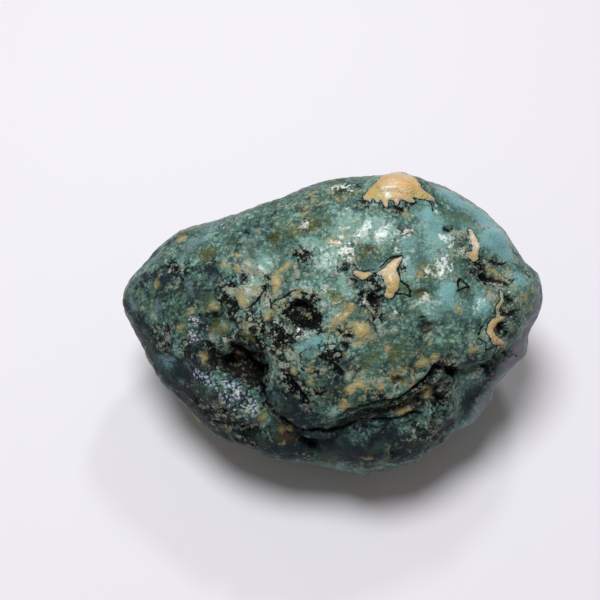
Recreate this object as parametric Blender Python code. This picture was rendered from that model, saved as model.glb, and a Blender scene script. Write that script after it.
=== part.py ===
"""A moss agate: one rough pear-shaped nodule, lying on the worn flat of its underside.

The stone is drawn on its girdle, the largest outline that it has. The girdle's plane leans back
from the ground: U runs to the right along the stone, V runs up the leaning plane, and W comes out
of it on the side of the broad domed face. Last of all the stone is turned to how it lies, +Z up,
with its origin at the middle of its box, on the ground.
"""

import math
import random
from collections import namedtuple

import bmesh
import bpy
import numpy as np
from mathutils import Matrix, Vector, noise

MM = 0.001

# Driving dimensions, in metres
LENGTH = 45.0 * MM
FACE_DEPTH = 11.6 * MM
BACK_DEPTH = 12.9 * MM
TIP_DEPTH_SHARE = 0.74
DEPTH_RISE = (-0.5 * LENGTH, 0.05 * LENGTH)
GIRDLE_LEAN = math.radians(28.0)
FLAT_CUT = 1.6 * MM
FLAT_EDGE = 0.30 * MM
FLAT_TRIM = 0.03 * MM

# The girdle, in millimetres of U and V on a stone 45 mm long, anticlockwise from the thick end
GIRDLE = [
    (20.9, 0.5),
    (21.2, 3.3),
    (20.5, 5.2),
    (19.0, 6.8),
    (16.6, 10.4),
    (12.8, 13.6),
    (9.1, 15.1),
    (5.3, 15.4),
    (2.2, 15.4),
    (-0.9, 15.2),
    (-5.8, 13.6),
    (-11.1, 11.8),
    (-15.7, 10.4),
    (-17.6, 10.0),
    (-18.9, 9.0),
    (-21.3, 6.4),
    (-23.1, 4.2),
    (-23.8, 2.6),
    (-23.2, 0.3),
    (-21.9, -2.2),
    (-19.8, -6.2),
    (-17.6, -8.4),
    (-15.4, -10.6),
    (-13.2, -12.3),
    (-10.1, -13.4),
    (-7.1, -14.6),
    (-4.0, -15.1),
    (-0.9, -15.9),
    (1.6, -16.7),
    (4.2, -16.3),
    (6.9, -15.3),
    (9.4, -13.7),
    (11.5, -12.2),
    (15.3, -8.1),
    (17.7, -5.7),
    (19.7, -3.3),
    (20.0, -1.1),
]
ROUNDNESS = 0.86

# Low swellings that keep the stone from looking turned: (height, wavelength) of each
SWELLS = ((0.75 * MM, 10.0 * MM), (0.34 * MM, 4.2 * MM), (0.13 * MM, 1.9 * MM))
GIRDLE_SWELL_SHARE = 0.25
GIRDLE_BAND = 5.0 * MM

# Hollows and lumps of the domed face, in millimetres: where, how wide along U and V, how far out
Mound = namedtuple("Mound", "u v half_u half_v height")
FACE_MOUNDS = (
    Mound(-10.6, -4.6, 3.4, 2.5, -3.0),
    Mound(-8.9, -7.3, 2.2, 1.6, -0.9),
    Mound(-13.0, -0.6, 2.3, 1.5, -1.2),
    Mound(-4.5, 0.5, 2.0, 1.8, -0.9),
    Mound(-10.0, -9.0, 2.6, 1.5, 0.7),
    Mound(-7.4, -8.4, 2.0, 1.6, 0.9),
    Mound(5.8, 13.9, 3.6, 2.2, 1.1),
    Mound(4.4, 3.6, 1.6, 2.2, 0.5),
    Mound(13.0, 2.6, 1.7, 1.2, -0.8),
    Mound(15.9, -2.0, 1.2, 1.2, -0.4),
    Mound(15.2, -2.6, 2.4, 2.2, 0.4),
    Mound(15.0, 7.6, 3.0, 2.6, 0.4),
    Mound(7.9, 2.4, 1.4, 1.1, -0.6),
    Mound(5.1, 7.5, 1.3, 1.1, -0.4),
    Mound(3.1, 6.0, 1.5, 1.1, -0.5),
    Mound(-0.3, 13.0, 1.3, 0.9, -0.6),
    Mound(-3.0, 9.4, 1.9, 0.9, -0.5),
    Mound(-7.6, 8.4, 2.0, 1.2, -0.6),
    Mound(8.0, -0.8, 1.3, 0.8, -0.4),
    Mound(10.6, -3.9, 0.9, 0.7, -0.5),
    Mound(5.4, -6.3, 0.9, 0.9, -0.6),
    Mound(-1.9, -4.8, 2.2, 1.2, -0.4),
    Mound(-17.4, 3.6, 1.6, 1.2, -0.5),
    Mound(-14.6, 6.4, 1.6, 0.9, -0.4),
    Mound(-17.6, -4.2, 1.8, 1.1, -0.5),
    Mound(4.6, -12.6, 2.2, 1.0, -0.7),
    Mound(-9.0, -11.4, 2.4, 0.9, -0.6),
)

# How each kind of hollow eases out: full up to the first share of its half-width, gone by the second
MOUND_EASE = (0.25, 1.35)
PIT_EASE = (0.2, 1.0)

# Cracks of the domed face, each a run of (U, V) points in millimetres, with its depth and half-width
Crack = namedtuple("Crack", "depth half_width run")
CRACKS = (
    Crack(
        1.5,
        0.75,
        ((-9.4, -7.2), (-8.8, -8.6), (-7.7, -10.6), (-5.2, -12.4), (-3.2, -13.4)),
    ),
    Crack(
        1.7,
        0.8,
        (
            (-0.6, -10.8),
            (1.8, -9.8),
            (3.6, -9.2),
            (6.0, -9.1),
            (7.8, -7.9),
            (9.6, -6.7),
            (11.0, -5.7),
            (12.6, -5.6),
            (14.6, -5.2),
            (17.2, -3.7),
        ),
    ),
    Crack(
        0.9,
        0.6,
        ((-4.6, -12.7), (-1.4, -12.5), (1.8, -11.7), (5.2, -11.5), (8.2, -10.6)),
    ),
)
LEDGE_DROP = 0.9 * MM
LEDGE_REACH = 1.5 * MM
LEDGE_FOOT = 4.5 * MM

# Small pits all over the stone, as the domed face shows them
PIT_COUNT = 90
PIT_RADIUS = (0.9 * MM, 1.9 * MM)
PIT_DEPTH = (0.12 * MM, 0.42 * MM)
SEED = 7

CELLS_PER_SIDE = 60
FACES_KEPT = 9400

STONE_COLOUR = (0.13, 0.22, 0.20, 1.0)
STONE_ROUGHNESS = 0.32


def girdle_reach(angle):
    """How far the girdle lies from the middle at each angle, on a smooth closed curve."""
    drawn = np.array(GIRDLE) * MM
    knots = np.unwrap(np.arctan2(drawn[:, 1], drawn[:, 0]))
    turn = 2.0 * math.pi
    knots = np.concatenate([knots[-2:] - turn, knots, knots[:2] + turn])
    reach = np.hypot(drawn[:, 0], drawn[:, 1])
    reach = np.concatenate([reach[-2:], reach, reach[:2]])
    slope = np.gradient(reach, knots)
    angle = knots[1] + np.mod(angle - knots[1], turn)
    left = np.clip(np.searchsorted(knots, angle, side="right") - 1, 0, len(knots) - 2)
    span = knots[left + 1] - knots[left]
    t = (angle - knots[left]) / span
    return (
        reach[left] * (1 + 2 * t) * (1 - t) ** 2
        + slope[left] * span * t * (1 - t) ** 2
        + reach[left + 1] * t**2 * (3 - 2 * t)
        + slope[left + 1] * span * t**2 * (t - 1)
    )


def smooth_step(value, low, high):
    """0 below low, 1 above high, and an easy rise between."""
    t = np.clip((value - low) / (high - low), 0.0, 1.0)
    return t * t * (3 - 2 * t)


def sphere_cells():
    """A ball of even square cells, which the stone is drawn out of."""
    ball = bmesh.new()
    bmesh.ops.create_cube(ball, size=2.0)
    bmesh.ops.subdivide_edges(ball, edges=ball.edges[:], cuts=CELLS_PER_SIDE - 1, use_grid_fill=True)
    for vert in ball.verts:
        vert.co = Vector(math.tan(x * math.pi / 4) for x in vert.co).normalized()
    return ball


def plain_form(ways):
    """The stone with no relief: each way out of the ball's middle, carried to the surface."""
    ring = np.hypot(ways[:, 0], ways[:, 1])
    angle = np.arctan2(ways[:, 1], ways[:, 0])
    reach = girdle_reach(angle) * ring**ROUNDNESS
    u = reach * np.cos(angle)
    v = reach * np.sin(angle)
    thickness = TIP_DEPTH_SHARE + (1 - TIP_DEPTH_SHARE) * smooth_step(u, *DEPTH_RISE)
    depth = np.where(ways[:, 2] > 0, FACE_DEPTH, BACK_DEPTH) * thickness
    w = depth * np.sign(ways[:, 2]) * np.abs(ways[:, 2]) ** ROUNDNESS
    return np.stack([u, v, w], axis=1)


def on_face(points, u, v):
    """The point of the domed face that lies at u and v, both in millimetres."""
    off = np.hypot(points[:, 0] - u * MM, points[:, 1] - v * MM)
    on_back = points[:, 2] < 0
    off[on_back] = np.inf
    return points[np.argmin(off)]


def mound_relief(points):
    """Rise and fall from the hollows and lumps of the domed face."""
    rise = np.zeros(len(points))
    for mound in FACE_MOUNDS:
        away = points - on_face(points, mound.u, mound.v)
        wide = np.array([mound.half_u, mound.half_v, (mound.half_u + mound.half_v) / 2]) * MM
        share = np.sqrt(((away / wide) ** 2).sum(1))
        rise += mound.height * MM * (1 - smooth_step(share, *MOUND_EASE))
    return rise


def run_distance(points, run):
    """How far each point is from a run of straight stretches."""
    nearest = np.full(len(points), np.inf)
    for start, end in zip(run[:-1], run[1:]):
        along = end - start
        t = np.clip((points - start) @ along / (along @ along), 0.0, 1.0)
        away = points - start - t[:, None] * along
        nearest = np.minimum(nearest, np.sqrt((away**2).sum(1)))
    return nearest


def crack_relief(points):
    """Fall into the cracks, and the ledge that drops away below the long one."""
    rise = np.zeros(len(points))
    for crack in CRACKS:
        run = np.array([on_face(points, u, v) for u, v in crack.run])
        near = run_distance(points, run) / (crack.half_width * MM)
        rise -= crack.depth * MM * np.exp(-(near**2))
    u_line, v_line = np.array(CRACKS[1].run).T * MM
    below = np.interp(points[:, 0], u_line, v_line) - points[:, 1]
    in_run = smooth_step(points[:, 0], u_line[0] - LEDGE_REACH, u_line[0] + LEDGE_REACH)
    in_run *= 1 - smooth_step(points[:, 0], u_line[-2] - LEDGE_REACH, u_line[-2] + LEDGE_REACH)
    drop = smooth_step(below, 0.0, LEDGE_REACH)
    drop *= 1 - smooth_step(below, LEDGE_REACH, LEDGE_FOOT)
    drop *= smooth_step(points[:, 2], 0.0, LEDGE_REACH)
    return rise - LEDGE_DROP * drop * in_run


def pit_relief(points):
    """Fall into the small pits, which are strewn over the whole stone."""
    draw = random.Random(SEED)
    rise = np.zeros(len(points))
    for _ in range(PIT_COUNT):
        middle = points[draw.randrange(len(points))]
        radius = draw.uniform(*PIT_RADIUS)
        share = np.sqrt(((points - middle) ** 2).sum(1)) / radius
        rise -= draw.uniform(*PIT_DEPTH) * (1 - smooth_step(share, *PIT_EASE))
    return rise


def swell_relief(points):
    """The uneven roundness of a water-worn lump."""
    rise = np.zeros(len(points))
    for height, wavelength in SWELLS:
        rise += [height * noise.noise(Vector(p) / wavelength) for p in points]
    off_girdle = smooth_step(np.abs(points[:, 2]), 0.0, GIRDLE_BAND)
    return rise * (GIRDLE_SWELL_SHARE + (1 - GIRDLE_SWELL_SHARE) * off_girdle)


def push_out(ball, rise):
    """Moves each vertex along its own normal by its rise."""
    ball.normal_update()
    for vert, height in zip(ball.verts, rise):
        vert.co += vert.normal * height


def points_of(ball):
    return np.array([vert.co[:] for vert in ball.verts])


def wear_flat(ball):
    """Cuts the lowest part of the stone to a level face, with a soft edge round it."""
    level = min(vert.co.z for vert in ball.verts) + FLAT_CUT
    for vert in ball.verts:
        over = vert.co.z - level
        if over < -FLAT_EDGE:
            vert.co.z = level
        elif over < FLAT_EDGE:
            vert.co.z = level + (over + FLAT_EDGE) ** 2 / (4 * FLAT_EDGE)


def set_down(ball):
    """Scales the stone to its length and puts its origin under the middle of its box."""
    points = points_of(ball)
    low, high = points.min(0), points.max(0)
    bmesh.ops.scale(ball, vec=Vector((LENGTH / (high[0] - low[0]),) * 3), verts=ball.verts)
    points = points_of(ball)
    low, high = points.min(0), points.max(0)
    middle = (low + high) / 2
    bmesh.ops.translate(ball, vec=(-middle[0], -middle[1], -low[2]), verts=ball.verts)


def stone_material():
    material = bpy.data.materials.new("moss_agate_stone")
    material.use_nodes = True
    shader = material.node_tree.nodes["Principled BSDF"]
    shader.inputs["Base Color"].default_value = STONE_COLOUR
    shader.inputs["Roughness"].default_value = STONE_ROUGHNESS
    shader.inputs["Metallic"].default_value = 0.0
    return material


def thinned(ball):
    """The same shape in fewer faces, most of them where the relief is."""
    mesh = bpy.data.meshes.new("dense_stone")
    ball.to_mesh(mesh)
    dense = bpy.data.objects.new("dense_stone", mesh)
    bpy.context.scene.collection.objects.link(dense)
    fewer = dense.modifiers.new("fewer_faces", "DECIMATE")
    fewer.ratio = FACES_KEPT / (2 * len(ball.faces))
    thin = bmesh.new()
    thin.from_object(dense, bpy.context.evaluated_depsgraph_get())
    bpy.data.objects.remove(dense, do_unlink=True)
    bpy.data.meshes.remove(mesh)
    ball.free()
    return thin


def trim_flat(stone):
    """Makes the worn flat one true plane."""
    level = min(vert.co.z for vert in stone.verts) + FLAT_TRIM
    every = stone.verts[:] + stone.edges[:] + stone.faces[:]
    cut = bmesh.ops.bisect_plane(
        stone, geom=every, plane_co=(0, 0, level), plane_no=(0, 0, -1), clear_outer=True
    )
    rim = [item for item in cut["geom_cut"] if isinstance(item, bmesh.types.BMEdge)]
    bmesh.ops.contextual_create(stone, geom=rim)
    bmesh.ops.triangulate(stone, faces=stone.faces[:])


def make_stone():
    ball = sphere_cells()
    for vert, place in zip(ball.verts, plain_form(points_of(ball))):
        vert.co = place
    push_out(ball, swell_relief(points_of(ball)))
    push_out(ball, mound_relief(points_of(ball)))
    plain = points_of(ball)
    push_out(ball, crack_relief(plain) + pit_relief(plain))
    bmesh.ops.rotate(ball, matrix=Matrix.Rotation(GIRDLE_LEAN, 3, "X"), verts=ball.verts)
    wear_flat(ball)
    form = thinned(ball)
    trim_flat(form)
    set_down(form)
    mesh = bpy.data.meshes.new("moss_agate")
    form.to_mesh(mesh)
    form.free()
    mesh.shade_smooth()
    stone = bpy.data.objects.new("moss_agate", mesh)
    stone.data.materials.append(stone_material())
    bpy.context.scene.collection.objects.link(stone)
    return stone


def main():
    for obj in list(bpy.data.objects):
        bpy.data.objects.remove(obj, do_unlink=True)
    make_stone()


main()
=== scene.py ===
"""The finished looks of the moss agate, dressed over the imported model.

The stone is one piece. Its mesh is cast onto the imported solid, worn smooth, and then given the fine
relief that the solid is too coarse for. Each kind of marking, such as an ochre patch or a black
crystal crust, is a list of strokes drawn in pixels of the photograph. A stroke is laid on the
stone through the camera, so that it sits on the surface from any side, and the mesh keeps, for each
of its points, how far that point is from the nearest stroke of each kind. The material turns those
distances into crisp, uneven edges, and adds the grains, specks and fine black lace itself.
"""

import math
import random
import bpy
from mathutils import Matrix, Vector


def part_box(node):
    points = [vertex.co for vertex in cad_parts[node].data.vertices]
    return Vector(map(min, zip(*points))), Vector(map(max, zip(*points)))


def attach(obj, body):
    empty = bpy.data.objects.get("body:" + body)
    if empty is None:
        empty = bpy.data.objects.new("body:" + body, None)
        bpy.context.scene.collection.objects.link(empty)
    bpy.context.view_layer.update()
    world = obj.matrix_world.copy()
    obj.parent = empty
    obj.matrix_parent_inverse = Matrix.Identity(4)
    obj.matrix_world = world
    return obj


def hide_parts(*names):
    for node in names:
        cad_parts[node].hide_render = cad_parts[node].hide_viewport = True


bl_info = {
    "name": "Moss agate",
    "version": (1, 0, 0),
    "blender": (4, 5, 0),
    "location": "3D View > Sidebar > Moss agate",
    "description": "Dresses the packed moss agate and sets up its stage",
    "category": "Object",
}

from typing import NamedTuple

import bmesh
import bpy
import numpy as np
from mathutils import Matrix, Vector, noise
from mathutils.bvhtree import BVHTree

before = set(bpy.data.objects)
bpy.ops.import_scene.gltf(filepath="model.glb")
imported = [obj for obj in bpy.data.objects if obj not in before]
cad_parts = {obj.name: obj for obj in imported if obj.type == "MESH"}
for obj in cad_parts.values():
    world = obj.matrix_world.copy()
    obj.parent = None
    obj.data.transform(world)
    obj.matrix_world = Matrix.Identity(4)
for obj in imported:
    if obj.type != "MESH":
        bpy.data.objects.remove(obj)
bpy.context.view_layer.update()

MM = 0.001

# The camera, and the photograph's own pixels
IMAGE_SIDE = 600
LENS_MM = 80.0
SENSOR_MM = 36.0
FOCAL_PIXELS = LENS_MM / SENSOR_MM * IMAGE_SIDE
CAMERA_ELEVATION = math.radians(62.0)
CAMERA_AIM = Vector((-3.37, 1.93, 14.29)) * MM
CAMERA_DISTANCE = 143.7 * MM
PIXEL = CAMERA_DISTANCE / FOCAL_PIXELS

# The stone's mesh: the cells along a side of its ball, how far they are drawn towards the camera, how
# often and how strongly it is worn smooth, how near the solid's loose corners are joined, and the height
# below which the relief fades out
CELLS_PER_SIDE = 128
FRONT_PULL = 0.35
WEAR_PASSES = 11
WEAR = 0.5
MERGE_REACH = 0.001 * MM
BASE_KEEP = 1.2 * MM

# Strokes: each is a chain of (x, y, radius) in pixels of the photograph
RAISED_OCHRE = (
    ((367, 197, 3.6), (376, 191, 7.5), (388, 184, 9.5), (398, 183, 9), (410, 188, 7.5), (420, 194, 5)),
    ((420, 194, 5), (433, 200, 2)),
    ((384, 193, 7), (396, 193, 6.5), (408, 195, 5)),
    ((380, 182, 3), (388, 176, 5), (397, 174, 5.6), (407, 178, 5), (417, 185, 4)),
    ((384, 182, 6), (391, 179, 8), (400, 178, 8), (409, 182, 6)),
    ((369, 199, 2.6), (370, 202, 1.6)),
    ((377, 198, 3), (378, 202, 1.6)),
    ((385, 199, 3.4), (386, 206, 2)),
    ((396, 199, 3), (397, 203, 1.6)),
    ((406, 199, 2.4), (412, 201, 2)),
    ((401, 258, 1.2), (396, 262, 3.2), (391, 267, 5), (389, 272, 6.2), (391, 279, 7), (393, 287, 5.6)),
    ((393, 287, 5.6), (389, 295, 3.4)),
    ((387, 271, 5), (380, 273, 2.4)),
    ((370, 274, 2), (363, 276, 3.4), (356, 272, 2)),
    ((470, 231, 2.4), (474, 239, 3.6), (476, 248, 3), (474, 257, 4.6), (468, 254, 2.4)),
    ((503, 318, 2), (497, 321, 3.4), (491, 326, 4), (490, 332, 3.8), (494, 339, 4.2), (502, 343, 2)),
    ((500, 293, 2.4), (502, 300, 2), (497, 307, 1.4), (499, 316, 1.6)),
)
OCHRE_SPOTS = (
    ((172, 232, 2.4), (185, 230, 2.4), (197, 228, 1.8)),
    ((240, 356, 3.4),),
    ((226, 326, 2.6),),
    ((181, 238, 5),),
    ((156, 284, 3.6),),
    ((225, 265, 4.2),),
    ((241, 293, 3), (243, 299, 4.4), (246, 305, 3.6)),
    ((267, 313, 3.4), (267, 317, 3)),
    ((259, 290, 3),),
    ((363, 332, 7), (356, 326, 4)),
    ((269, 415, 1.6),),
    ((236, 266, 3),),
    ((238, 255, 2.2),),
    ((288, 266, 3), (280, 272, 3.4), (276, 279, 4.6), (276, 290, 3.2)),
    ((192, 311, 3),),
    ((203, 310, 3),),
    ((212, 306, 2.4), (219, 308, 2.4)),
    ((180, 328, 2.2), (185, 326, 2.2)),
    ((195, 336, 1.8),),
    ((202, 353, 2.2), (205, 364, 1.6)),
    ((262, 417, 5.6),),
    ((220, 402, 3),),
    ((198, 419, 5),),
    ((228, 430, 2.6),),
    ((350, 309, 4.6), (342, 316, 4.4), (334, 322, 3)),
    ((360, 342, 2.6), (371, 337, 2.8)),
    ((344, 405, 4.2),),
    ((400, 412, 3), (406, 412, 2.6)),
    ((459, 309, 4),),
    ((424, 362, 4.8), (418, 366, 3)),
    ((435, 356, 2.8),),
    ((387, 349, 3.4),),
    ((531, 309, 3),),
    ((532, 290, 3),),
    ((506, 345, 3.4), (500, 348, 2)),
    ((407, 216, 2.8),),
    ((420, 274, 3),),
    ((366, 459, 3.2),),
    ((338, 199, 2.4), (347, 198, 2)),
    ((331, 242, 4), (338, 243, 2.4)),
    ((352, 222, 2),),
    ((470, 352, 2.8), (476, 349, 2.4)),
    ((428, 388, 1.8), (425, 395, 2.2), (434, 396, 1.4)),
    ((295, 371, 3.2),),
    ((310, 381, 2.8),),
    ((380, 386, 4),),
    ((350, 390, 4), (361, 386, 3.4)),
    ((257, 287, 2.6),),
    ((297, 290, 1.8),),
    ((490, 268, 2), (496, 272, 2.6), (503, 277, 1.8)),
)
CREAM_SPOTS = (
    ((455, 254, 4.8), (464, 254, 4.2)),
    ((453, 234, 3.4), (464, 232, 2.8)),
    ((456, 240, 2.8),),
    ((475, 227, 2.4), (488, 227, 1.8)),
    ((505, 318, 2), (511, 323, 2.2), (513, 329, 2)),
    ((487, 327, 3.4), (484, 333, 3.4), (488, 339, 3)),
    ((463, 286, 2.6),),
    ((251, 279, 3), (247, 262, 3.4), (242, 270, 3)),
    ((245, 241, 2.8),),
    ((304, 202, 2.6),),
    ((259, 229, 2.8),),
    ((351, 279, 3.4),),
    ((383, 331, 3.4),),
    ((394, 331, 3.8),),
    ((395, 318, 2.8),),
    ((386, 343, 2.6),),
    ((349, 377, 3.4),),
    ((374, 381, 5),),
    ((357, 346, 2.4), (345, 337, 1.8)),
    ((322, 304, 2.4), (323, 310, 2)),
    # A cream rim below the crust's cavity, partly a painted highlight
    ((303, 334, 1.8), (312, 333, 2.2), (320, 326, 1.8)),
    ((419, 375, 3),),
    ((419, 386, 2.4),),
    ((436, 371, 2),),
    ((434, 382, 3), (441, 387, 2.2)),
    ((453, 393, 2.2),),
    # A cream rim along the top of the lower lobe, partly a painted highlight
    ((467, 376, 1.4), (473, 374, 1.8), (479, 372, 1.4)),
    ((240, 356, 3.2),),
    ((482, 282, 1.4), (490, 287, 1.6), (496, 292, 1.6)),
    ((491, 298, 5),),
    ((517, 298, 2.6), (514, 304, 2)),
    ((514, 262, 1.2), (521, 256, 1.2)),
    ((364, 300, 2),),
    ((380, 308, 2),),
    ((382, 284, 2),),
    ((272, 382, 2.2), (273, 358, 2)),
    ((321, 371, 3.2),),
    ((328, 356, 1.8), (338, 354, 1.6)),
    ((412, 308, 1.8), (424, 304, 2), (430, 297, 1.6)),
    ((404, 275, 1.6),),
    ((142, 309, 2),),
    ((212, 284, 2.2),),
    ((247, 330, 3), (252, 325, 2)),
    ((262, 274, 3), (256, 268, 3)),
    ((267, 298, 4.6), (267, 307, 5.4)),
    ((228, 345, 4),),
    ((234, 338, 2),),
    ((212, 336, 2.4),),
    ((230, 291, 4), (256, 292, 5)),
    ((440, 421, 3),),
    ((450, 417, 3), (455, 416, 2)),
)
BLACK_CRUST = (
    ((372, 279, 3.8),),
    ((377, 289, 4), (371, 296, 2.6)),
    ((361, 291, 3), (358, 298, 2)),
    ((356, 280, 1.8),),
    ((375, 301, 4), (381, 297, 2)),
    ((376, 309, 1.8), (380, 316, 3), (375, 320, 2)),
    ((345, 267, 3.2),),
    ((288, 312, 4), (297, 304, 5.5), (309, 303, 6), (314, 312, 6), (312, 324, 5.5)),
    ((312, 324, 5.5), (302, 322, 7), (293, 316, 6)),
    ((300, 332, 2.4), (292, 338, 2.6), (284, 336, 2)),
    ((278, 328, 2.2), (272, 334, 2)),
    ((299, 254, 1.8), (304, 258, 2), (307, 252, 1.4)),
    ((270, 278, 2),),
    ((267, 287, 1.6), (263, 294, 1.6)),
    ((340, 331, 2.6),),
    ((347, 336, 2.2),),
    ((336, 345, 2), (343, 346, 3.4)),
    ((334, 351, 1.8), (324, 358, 3), (330, 363, 2.8), (338, 372, 2.2)),
    ((315, 372, 1.4),),
    ((317, 390, 2.2),),
    ((300, 392, 1.4), (304, 397, 1.6), (308, 404, 1.8)),
    ((284, 374, 1.8), (288, 382, 2.2), (293, 388, 2)),
    ((378, 392, 3.2), (382, 399, 2.4)),
    ((445, 227, 2.8), (452, 227, 1.6)),
    ((464, 240, 1.8),),
    ((475, 264, 3), (482, 266, 2.4), (475, 271, 1.8)),
    ((481, 275, 3), (489, 279, 4.6), (497, 280, 2.8), (502, 279, 2.4)),
    ((483, 252, 1.6), (485, 257, 1.6)),
    ((493, 261, 1.4),),
    ((507, 296, 2.6), (510, 302, 2.8)),
    ((511, 314, 2.2),),
    ((526, 273, 1.8),),
    ((501, 325, 3.2), (503, 333, 3)),
    ((403, 209, 3), (397, 205, 1.4)),
    ((364, 202, 1.8), (369, 206, 1.4)),
    ((402, 269, 1.8),),
    ((389, 454, 3), (395, 456, 2)),
    ((435, 437, 3), (441, 442, 2)),
    ((495, 357, 2.8), (503, 353, 3.6)),
    ((438, 366, 3.4), (446, 370, 4), (455, 369, 3)),
    ((168, 344, 2.2), (164, 349, 1.6)),
    ((172, 266, 1.4), (177, 270, 1.4)),
    ((243, 278, 2.2), (238, 284, 2), (230, 284, 2)),
    ((226, 300, 3.6), (236, 306, 4.4), (229, 313, 4)),
    ((277, 330, 4), (286, 338, 5), (276, 342, 3)),
    ((206, 344, 2), (212, 348, 2.4)),
    ((252, 330, 1.6), (258, 338, 2.6), (262, 348, 3)),
    ((254, 312, 1.6), (262, 322, 1.8), (264, 332, 1.6)),
    ((196, 398, 2.4), (200, 404, 1.8)),
    ((206, 412, 2.2), (216, 410, 2.4), (226, 412, 2)),
    ((214, 422, 1.8), (224, 426, 2), (236, 424, 2), (244, 430, 2)),
    ((236, 440, 1.8), (252, 444, 1.8)),
    ((318, 332, 1.6),),
    ((420, 388, 1.8), (416, 396, 1.6)),
    ((432, 404, 1.8), (444, 398, 2)),
)
BLACK_LINES = (
    ((420, 199, 0.2), (427, 200, 0.3), (432, 204, 0.4), (433, 211, 0.3)),
    ((381, 267, 0.2), (387, 260, 0.4), (394, 256, 0.5), (403, 255, 0.5), (401, 260, 0.5), (397, 267, 0.4)),
    ((397, 267, 0.4), (399, 280, 0.4), (407, 285, 0.5), (411, 290, 0.6), (411, 296, 0.6), (403, 293, 0.5)),
    ((403, 293, 0.5), (397, 294, 0.5), (393, 298, 0.5), (387, 300, 0.5)),
    ((355, 264, 0.2), (358, 268, 0.3), (366, 271, 0.3), (374, 270, 0.3)),
    ((273, 304, 0.4), (276, 300, 0.3), (285, 297, 0.4), (291, 290, 0.4), (297, 289, 0.5)),
    ((297, 289, 0.5), (305, 293, 0.4), (313, 296, 0.5), (319, 300, 0.5), (321, 313, 0.5), (320, 324, 0.4)),
    ((461, 277, 0.9), (457, 290, 1), (469, 289, 0.8), (461, 277, 0.7)),
    ((484, 257, 0.4), (492, 261, 0.5), (500, 264, 0.5), (509, 263, 0.4), (517, 265, 0.3)),
    ((499, 311, 0.3), (491, 316, 0.4), (484, 323, 0.5), (479, 333, 0.6), (478, 338, 0.5), (485, 341, 0.5)),
    ((485, 341, 0.5), (486, 351, 0.5), (493, 347, 0.5), (503, 342, 0.5)),
    ((493, 306, 0.4), (496, 314, 0.4)),
    ((500, 306, 0.6), (502, 315, 0.5)),
    ((508, 325, 0.3), (507, 333, 0.4), (503, 337, 0.4)),
    ((270, 296, 0.4), (272, 306, 0.4), (272, 318, 0.4), (266, 322, 0.4), (261, 314, 0.3), (260, 302, 0.3)),
    ((266, 288, 0.5), (262, 296, 0.5), (254, 304, 0.5), (246, 309, 0.5)),
    ((301, 361, 0.5), (300, 353, 0.4), (307, 349, 0.4)),
    ((276, 361, 0.4), (284, 360, 0.4), (292, 364, 0.5), (300, 366, 0.4), (304, 372, 0.4)),
    ((283, 366, 0.4), (282, 374, 0.5), (290, 378, 0.5), (292, 388, 0.4)),
    ((293, 393, 0.4), (298, 387, 0.4), (305, 394, 0.5), (310, 403, 0.5)),
    ((268, 394, 0.3), (274, 390, 0.4), (282, 391, 0.4), (287, 397, 0.4)),
    ((334, 352, 0.4), (341, 352, 0.4), (342, 358, 0.4), (335, 360, 0.4)),
    ((384, 392, 0.4), (385, 404, 0.4), (390, 416, 0.4)),
    ((417, 319, 0.05), (424, 317, 0.1), (432, 321, 0.05)),
    ((459, 245, 0.4), (466, 238, 0.4), (470, 247, 0.4)),
    ((432, 367, 0.4), (436, 366, 0.4), (440, 371, 0.4), (436, 375, 0.4), (432, 371, 0.4)),
    ((162, 344, 0.4), (170, 340, 0.4), (172, 346, 0.4), (166, 353, 0.4), (162, 350, 0.4)),
    ((170, 264, 0.4), (176, 262, 0.4), (180, 268, 0.4), (176, 273, 0.3)),
    ((501, 375, 0.3), (491, 384, 0.3)),
    ((405, 201, 0.4), (412, 204, 0.4), (417, 201, 0.3)),
    ((216, 300, 0.4), (222, 302, 0.5), (222, 309, 0.4)),
    ((206, 306, 0.4), (198, 316, 0.4), (204, 322, 0.4)),
)
OLIVE_STAINS = (
    ((215, 325, 5), (221, 326, 6), (227, 326, 5.6)),
    ((272, 241, 4), (280, 236, 4), (276, 224, 4)),
    ((414, 294, 3), (422, 295, 5)),
    ((312, 224, 4), (322, 223, 4)),
    ((204, 255, 3), (214, 251, 3)),
    ((437, 271, 4), (424, 268, 4)),
    ((366, 251, 4.6), (376, 250, 4.6)),
    ((330, 296, 4), (336, 300, 3)),
    ((391, 357, 5), (402, 352, 4)),
    ((397, 381, 4),),
    ((343, 194, 4), (350, 196, 2)),
    ((296, 232, 4), (288, 228, 4)),
    ((370, 361, 3), (377, 358, 3)),
    ((404, 286, 3),),
    ((491, 268, 3), (497, 272, 3)),
    ((338, 181, 2.4), (327, 183, 2.4)),
    ((246, 330, 4), (252, 340, 3)),
    ((466, 221, 2.4),),
    ((370, 237, 2),),
    ((332, 183, 2), (346, 178, 1.6)),
    ((364, 178, 1.4), (376, 178, 1.4)),
    ((452, 335, 3.4),),
    ((206, 307, 3.4), (212, 312, 3)),
)
RUST_STAINS = (
    ((423, 327, 1.4), (428, 327, 1.2)),
    ((449, 357, 3.4),),
    ((397, 382, 3),),
    ((398, 228, 3), (409, 230, 3.4)),
    ((371, 250, 3),),
    ((297, 207, 2.6),),
    ((442, 186, 2),),
    ((366, 459, 4),),
    ((283, 435, 3), (296, 437, 4)),
    ((336, 317, 1.8),),
    ((347, 318, 1.8),),
    ((440, 251, 1.8),),
    ((420, 274, 2.4),),
    ((226, 312, 3),),
    ((506, 346, 3),),
)
# Frost: pale lilac crystals, whose sparkle is partly painted glints
FROST = (
    ((196, 373, 4), (206, 380, 6)),
    ((218, 383, 4), (231, 382, 3.4), (233, 393, 9), (224, 398, 6)),
    ((244, 398, 6), (247, 404, 9), (252, 412, 7)),
    ((195, 321, 4.4),),
    ((193, 334, 5.2), (200, 339, 2.4)),
    ((204, 327, 2),),
    ((231, 224, 3), (222, 226, 2)),
    ((474, 220, 2),),
    ((356, 428, 2.4),),
    ((396, 385, 1.4),),
)
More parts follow.
